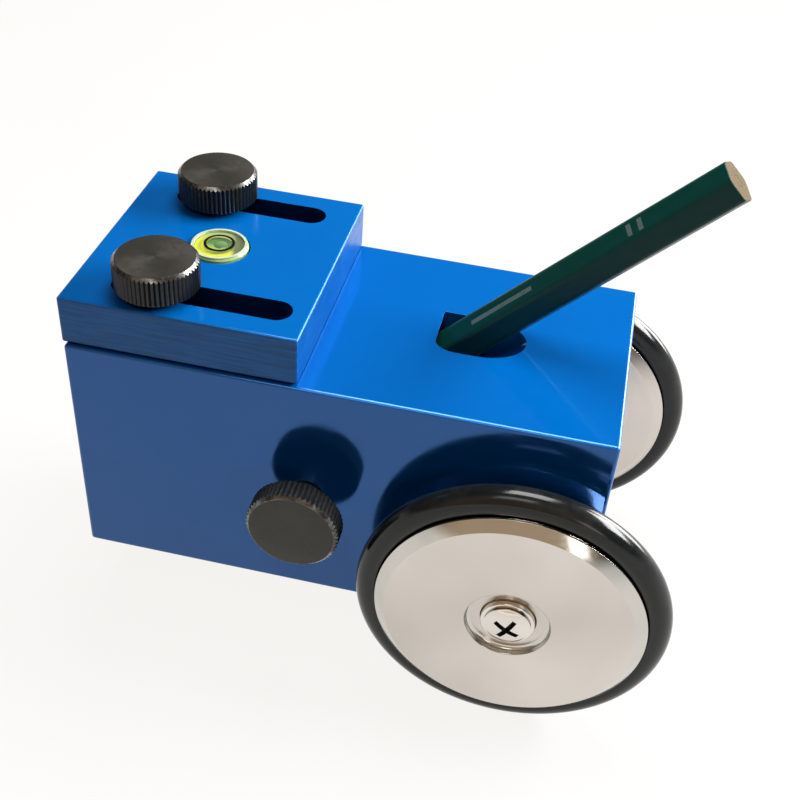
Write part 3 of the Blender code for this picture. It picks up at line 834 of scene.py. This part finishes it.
def wheel_profile(radius, inner, outer, groove_at):
    """Profile of a wheel disc and its bands' materials: 0 the turned faces, 1 the bright edges."""
    face = radius - WHEEL_FACE_INSET
    groove_center = radius + TYRE_GROOVE - TYRE_GROOVE_DEPTH
    half = math.acos((groove_center - radius) / TYRE_GROOVE)
    floor = outer - RECESS_DEPTH
    back = [(BUSH_HOLE_RADIUS, inner, 0.15), (face, inner, 0.1), (radius, inner + WHEEL_CHAMFER, 0.1)]
    groove = []
    for step in range(GROOVE_STEPS + 1):
        turn = math.pi + half - 2 * half * step / GROOVE_STEPS
        reach, along = TYRE_GROOVE * math.cos(turn), TYRE_GROOVE * math.sin(turn)
        groove.append((groove_center + reach, groove_at + along, 0.0))
    front = [
        (radius, outer - WHEEL_CHAMFER, 0.1),
        (face, outer, 0.08),
        (RECESS_RADIUS, outer, 0.3),
        (RECESS_RADIUS, floor, 0.8),
        (BUSH_HOLE_RADIUS, floor, 0.15),
    ]
    outline = rounded(back + groove + front)
    coats = []
    for point, following in zip(outline, outline[1:] + outline[:1]):
        flat = abs(point.y - following.y) < 0.02
        reach, height = (point + following) / 2
        at_edge = reach > face or RECESS_RADIUS - 1.0 < reach < face
        coats.append(1 if at_edge and height > groove_at and not flat else 0)
    return outline, coats


def make_wheel(side, direction, steel, bright, rubber, nickel):
    """A wheel's disc, tyre, retaining washer and cross-recess screw: local Z points outward."""
    axis = (0.0, direction, 0.0)
    low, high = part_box(f"{side}_wheel_disc")
    hub = middle(f"{side}_wheel_disc")
    thickness = (high.y - low.y) / MM
    radius = (high.x - low.x) / 2 / MM
    tyre_low, tyre_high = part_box(f"{side}_wheel_tyre")
    tyre = middle(f"{side}_wheel_tyre")
    groove_at = (tyre.y - hub.y) * direction / MM
    place = at(hub, axis)
    outline, coats = wheel_profile(radius, -thickness / 2, thickness / 2, groove_at)
    metals = [steel, bright]
    disc = lathe(f"{side}_turned_wheel", place, metals, outline, FINE_STEPS, coats, closed=True)
    stand_for(disc, f"{side}_wheel", "turned_steel", f"{side}_wheel_disc")

    outer = (tyre_high.x - tyre_low.x) / 2 / MM
    section = [(outer - TYRE_SECTION + x, y) for x, y in circle(TYRE_SECTION, TYRE_SECTION_STEPS)]
    ring = lathe(f"{side}_o_ring", at(tyre, axis), [rubber], section, FINE_STEPS, closed=True)
    stand_for(ring, f"{side}_wheel", "black_rubber", f"{side}_wheel_tyre")

    low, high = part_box(f"{side}_axle_washer")
    spot = middle(f"{side}_axle_washer")
    half = (high.y - low.y) / 2 / MM
    edge = (high.x - low.x) / 2 / MM
    hole = SCREW_SHANK_RADIUS + 0.15
    flat = rounded([(hole, -half, 0.05), (edge, -half, 0.1), (edge, half, 0.25), (hole, half, 0.1)])
    place = at(spot, axis)
    washer = lathe(f"{side}_retaining_washer", place, [nickel], flat, ROUND_STEPS, closed=True)
    stand_for(washer, "tester_body", "bright_steel", f"{side}_axle_washer")
    make_cross_screw(side, axis, nickel)


def make_cross_screw(side, axis, nickel):
    """Pan head screw with a cross recess, in the shaft's end."""
    low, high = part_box(f"{side}_axle_screw")
    spot = middle(f"{side}_axle_screw")
    half = (high.y - low.y) / 2 / MM
    head = (high.x - low.x) / 2 / MM
    seat = half - SCREW_HEAD_HEIGHT
    body = [
        (0.0, -half),
        (SCREW_SHANK_RADIUS - 0.4, -half),
        (SCREW_SHANK_RADIUS, -half + 0.4),
        (SCREW_SHANK_RADIUS, seat),
        (head - 0.15, seat),
        (head, seat + 0.15),
        (head, seat + 0.4),
    ]
    turns = [math.radians(DOME_EDGE * (8 - step) / 8) for step in range(9)]
    crown = (head - 0.25) / math.sin(turns[0])
    body.append((head - 0.08, half - crown * (1.0 - math.cos(turns[0])) - 0.12))
    body += [(crown * math.sin(turn), half - crown * (1.0 - math.cos(turn))) for turn in turns]
    place = at(spot, axis)
    # The cross recess takes the second material, its painted shade
    steels = [nickel, shadowed_steel()]
    screw = lathe(f"{side}_cross_screw", place, steels, body, ROUND_STEPS)
    cross = []
    for quarter in range(4):
        turn = Matrix.Rotation(math.radians(CROSS_TURN + 90.0 * quarter), 2)
        corners = (
            (CROSS_HALF_WIDTH, CROSS_HALF_WIDTH),
            (CROSS_HALF_WIDTH, CROSS_ARM),
            (-CROSS_HALF_WIDTH, CROSS_ARM),
        )
        cross += [turn @ Vector(corner) for corner in corners]
    floor = half - CROSS_DEPTH
    cut(screw, prism(f"{side}_cross", place, steels, cross, floor, half + 0.1, taper=0.7, coat=1))
    screw.data.shade_smooth()
    screw.data.set_sharp_from_angle(angle=math.radians(35.0))
    stand_for(screw, "tester_body", "bright_steel", f"{side}_axle_screw")


def hexagon_radius(angle):
    """Distance from a pencil's axis to its rounded hexagonal side, which is flat across Y."""
    flat = PENCIL_FLATS / 2
    from_flat = (math.degrees(angle) % 60.0) - 30.0
    turn = math.radians(abs(from_flat))
    corner = (flat - PENCIL_CORNER) / math.cos(math.radians(30.0))
    arc_start = math.atan2(corner * math.sin(math.radians(30.0)), flat)
    if turn <= arc_start:
        return flat / math.cos(turn)
    gap = math.radians(30.0) - turn
    return corner * math.cos(gap) + math.sqrt(PENCIL_CORNER**2 - (corner * math.sin(gap)) ** 2)


def make_pencil(lacquer, wood, lead):
    """Wooden pencil, sharpened at its lower end, where the cone scallops the lacquer."""
    axis = Vector((1.0, 0.0, 1.0)).normalized()
    place = at(middle("pencil_lead"), axis)
    half = pencil_top / MM
    start = -half + LEAD_BARE
    slope = (PENCIL_FLATS / 2 / math.cos(math.radians(30.0)) - SHARPENED_RADIUS) / SHARPENED_LENGTH

    def profile(angle):
        side = hexagon_radius(angle)
        scallop = start + (side - SHARPENED_RADIUS) / slope
        cone = [
            (SHARPENED_RADIUS + (side - SHARPENED_RADIUS) * share, start + (scallop - start) * share)
            for share in (0.0, 0.25, 0.5, 0.75, 1.0)
        ]
        length = half - 0.12 - scallop
        shaft = [(side, scallop + length * share) for share in (0.25, 0.5, 0.75, 1.0)]
        end = [(side - 0.10, half), (LEAD_HOLE_RADIUS, half)]
        return [(LEAD_HOLE_RADIUS, start), *cone, *shaft, *end]

    coats = [1] * 5 + [0] * 5 + [1] * 2
    finishes = [lacquer, wood]
    casing = lathe("hexagonal_pencil", place, finishes, profile, PENCIL_STEPS, coats, closed=True)
    stand_for(casing, "pencil", "green_lacquer", "pencil_casing")
    core = [(0.0, -half), (LEAD_RADIUS - 0.1, -half), (LEAD_RADIUS, -half + 0.1)]
    core += [(LEAD_RADIUS, half - 0.05), (LEAD_RADIUS - 0.05, half), (0.0, half)]
    rod = lathe("pencil_core", place, [lead, wood], core, SMALL_STEPS, [0, 0, 0, 1, 1])
    stand_for(rod, "pencil", "graphite", "pencil_lead")


def dress(material, *nodes):
    """Gives CAD nodes that stay shown a better material."""
    for node in nodes:
        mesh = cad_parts[node].data
        mesh.materials.clear()
        mesh.materials.append(material)


# Stage, light and camera


def make_floor():
    """Wide floor just under the object: gloss mirrors it, and it lights nothing diffusely."""
    bm = bmesh.new()
    bmesh.ops.create_circle(bm, cap_ends=True, radius=FLOOR_RADIUS, segments=ROUND_STEPS)
    place = Matrix.Translation((0.0, 0.0, cad_low.z - 0.1 * MM))
    floor = new_object("studio_floor", bm, place, [pale_floor()])
    floor.visible_diffuse = False


def soft_light(name, azimuth, elevation, size, power):
    """Area light that faces the object: azimuth turns from +X towards +Y."""
    turn, lift = math.radians(azimuth), math.radians(elevation)
    flat = math.cos(lift)
    direction = Vector((math.cos(turn) * flat, math.sin(turn) * flat, math.sin(lift)))
    light = bpy.data.lights.new(name, "AREA")
    light.shape = "RECTANGLE"
    light.size, light.size_y = size
    light.energy = power
    lamp = bpy.data.objects.new(name, light)
    lamp.location = (cad_low + cad_high) / 2 + direction * LIGHT_DISTANCE
    lamp.rotation_euler = direction.to_track_quat("Z", "Y").to_euler()
    bpy.context.collection.objects.link(lamp)


def make_world():
    """Room: pale round the horizon and dim overhead, with a bright window and a warm wall."""
    world = bpy.data.worlds.new("studio_room")
    bpy.context.scene.world = world
    world.use_nodes = True
    tree = world.node_tree
    direction = tree.nodes.new("ShaderNodeTexCoord").outputs["Generated"]

    def toward(aim, start, stop, color):
        """Color around a direction: none at the first cosine, all of it at the second."""
        cosine = tree.nodes.new("ShaderNodeVectorMath")
        cosine.operation = "DOT_PRODUCT"
        tree.links.new(direction, cosine.inputs[0])
        cosine.inputs[1].default_value = Vector(aim).normalized()
        lobe = tree.nodes.new("ShaderNodeMapRange")
        lobe.interpolation_type = "SMOOTHSTEP"
        tree.links.new(cosine.outputs["Value"], lobe.inputs["Value"])
        lobe.inputs["From Min"].default_value = start
        lobe.inputs["From Max"].default_value = stop
        tint = tree.nodes.new("ShaderNodeMix")
        tint.data_type = "RGBA"
        tree.links.new(lobe.outputs["Result"], tint.inputs[0])
        tint.inputs[6].default_value = rgb(0.0, 0.0, 0.0)
        tint.inputs[7].default_value = color
        return tint.outputs[2]

    height = tree.nodes.new("ShaderNodeSeparateXYZ")
    tree.links.new(direction, height.inputs[0])
    ramp = tree.nodes.new("ShaderNodeMapRange")
    tree.links.new(height.outputs[2], ramp.inputs["Value"])
    ramp.inputs["From Min"].default_value = -1.0
    bands = tree.nodes.new("ShaderNodeValToRGB")
    tree.links.new(ramp.outputs["Result"], bands.inputs[0])
    stops = bands.color_ramp.elements
    for index, (sine, level) in enumerate(ROOM_BANDS):
        stop = stops[index] if index < 2 else stops.new(1.0)
        stop.position = (sine + 1.0) / 2
        stop.color = rgb(level, level, level * 0.98)
    total = bands.outputs[0]
    for aim, start, stop, color in ROOM_LOBES:
        added = tree.nodes.new("ShaderNodeVectorMath")
        tree.links.new(total, added.inputs[0])
        tree.links.new(toward(aim, start, stop, color), added.inputs[1])
        total = added.outputs[0]
    tree.links.new(total, tree.nodes["Background"].inputs["Color"])
    world.cycles_visibility.diffuse = False
    bpy.context.scene.cycles.caustics_reflective = False


def make_camera():
    """Camera at the photograph's viewing angle."""
    turn, lift = math.radians(CAMERA_AZIMUTH), math.radians(CAMERA_ELEVATION)
    flat = math.cos(lift)
    back = Vector((math.sin(turn) * flat, -math.cos(turn) * flat, math.sin(lift)))
    right = Vector((0.0, 0.0, 1.0)).cross(back).normalized()
    level = Matrix((right, back.cross(right), back)).transposed()
    camera = bpy.data.cameras.new("camera")
    camera.lens = CAMERA_LENS
    camera.sensor_width = 36.0
    camera.clip_start = 0.01
    camera.clip_end = 20.0
    viewer = bpy.data.objects.new("camera", camera)
    place = (cad_low + cad_high) / 2 + Vector(CAMERA_AIM) * MM + back * CAMERA_DISTANCE * MM
    rolled = level @ Matrix.Rotation(math.radians(CAMERA_ROLL), 3, "Z")
    viewer.matrix_world = Matrix.Translation(place) @ rolled.to_4x4()
    bpy.context.collection.objects.link(viewer)
    bpy.context.scene.camera = viewer


# Scene


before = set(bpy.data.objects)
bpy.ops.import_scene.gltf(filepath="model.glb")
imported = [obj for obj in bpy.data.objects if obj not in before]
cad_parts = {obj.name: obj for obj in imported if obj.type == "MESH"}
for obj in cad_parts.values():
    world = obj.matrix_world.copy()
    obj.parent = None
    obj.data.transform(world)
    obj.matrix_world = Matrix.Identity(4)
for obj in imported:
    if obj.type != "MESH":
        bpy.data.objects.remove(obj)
cad_low, cad_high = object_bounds()
lead_low, lead_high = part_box("pencil_lead")
pencil_top = (lead_high - lead_low).z / math.sqrt(2.0) - LEAD_RADIUS * MM

make_world()
make_floor()
make_camera()
for light_settings in LIGHTS:
    soft_light(*light_settings)

steels = [blackened_steel(), knurled_steel(), worn_edge()]
rubber = black_rubber()
faced = turned_steel()
bright = polished_steel("bright_turned_edge", rgb(0.54, 0.52, 0.48), rgb(0.62, 0.60, 0.56), 0.10, 0.5)
nickel = polished_steel("nickel_plate", rgb(0.66, 0.62, 0.57), rgb(0.78, 0.74, 0.69), 0.09, 0.4)

make_block(blue_paint())
make_plate(milled_paint(), slot_painted_shade())
make_level()
upward, nearward = (0.0, 0.0, 1.0), (0.0, -1.0, 0.0)
make_knob("near_knurled_head", "near_screw_head", "near_screw_stud", upward, "near_screw", steels)
make_knob("far_knurled_head", "far_screw_head", "far_screw_stud", upward, "far_screw", steels)
make_knob("clamp_knurled_knob", "clamp_knob", "clamp_stud", nearward, "clamp_screw", steels)
for wheel_side, outward in (("near", -1), ("far", 1)):
    make_wheel(wheel_side, outward, faced, bright, rubber, nickel)
make_pencil(green_lacquer(), cedar(), graphite())

dress(plain_steel(), "axle_shaft", "near_screw_stud", "far_screw_stud", "clamp_stud")
dress(plain_steel(), "near_screw_washer", "far_screw_washer")
bronzes = ("near_wheel_bush", "far_wheel_bush", "near_wheel_spacer", "far_wheel_spacer", "clamp_pad")
dress(sintered_bronze(), *bronzes)
dress(white_plastic(), "level_base")

bpy.context.scene.view_settings.view_transform = "Standard"
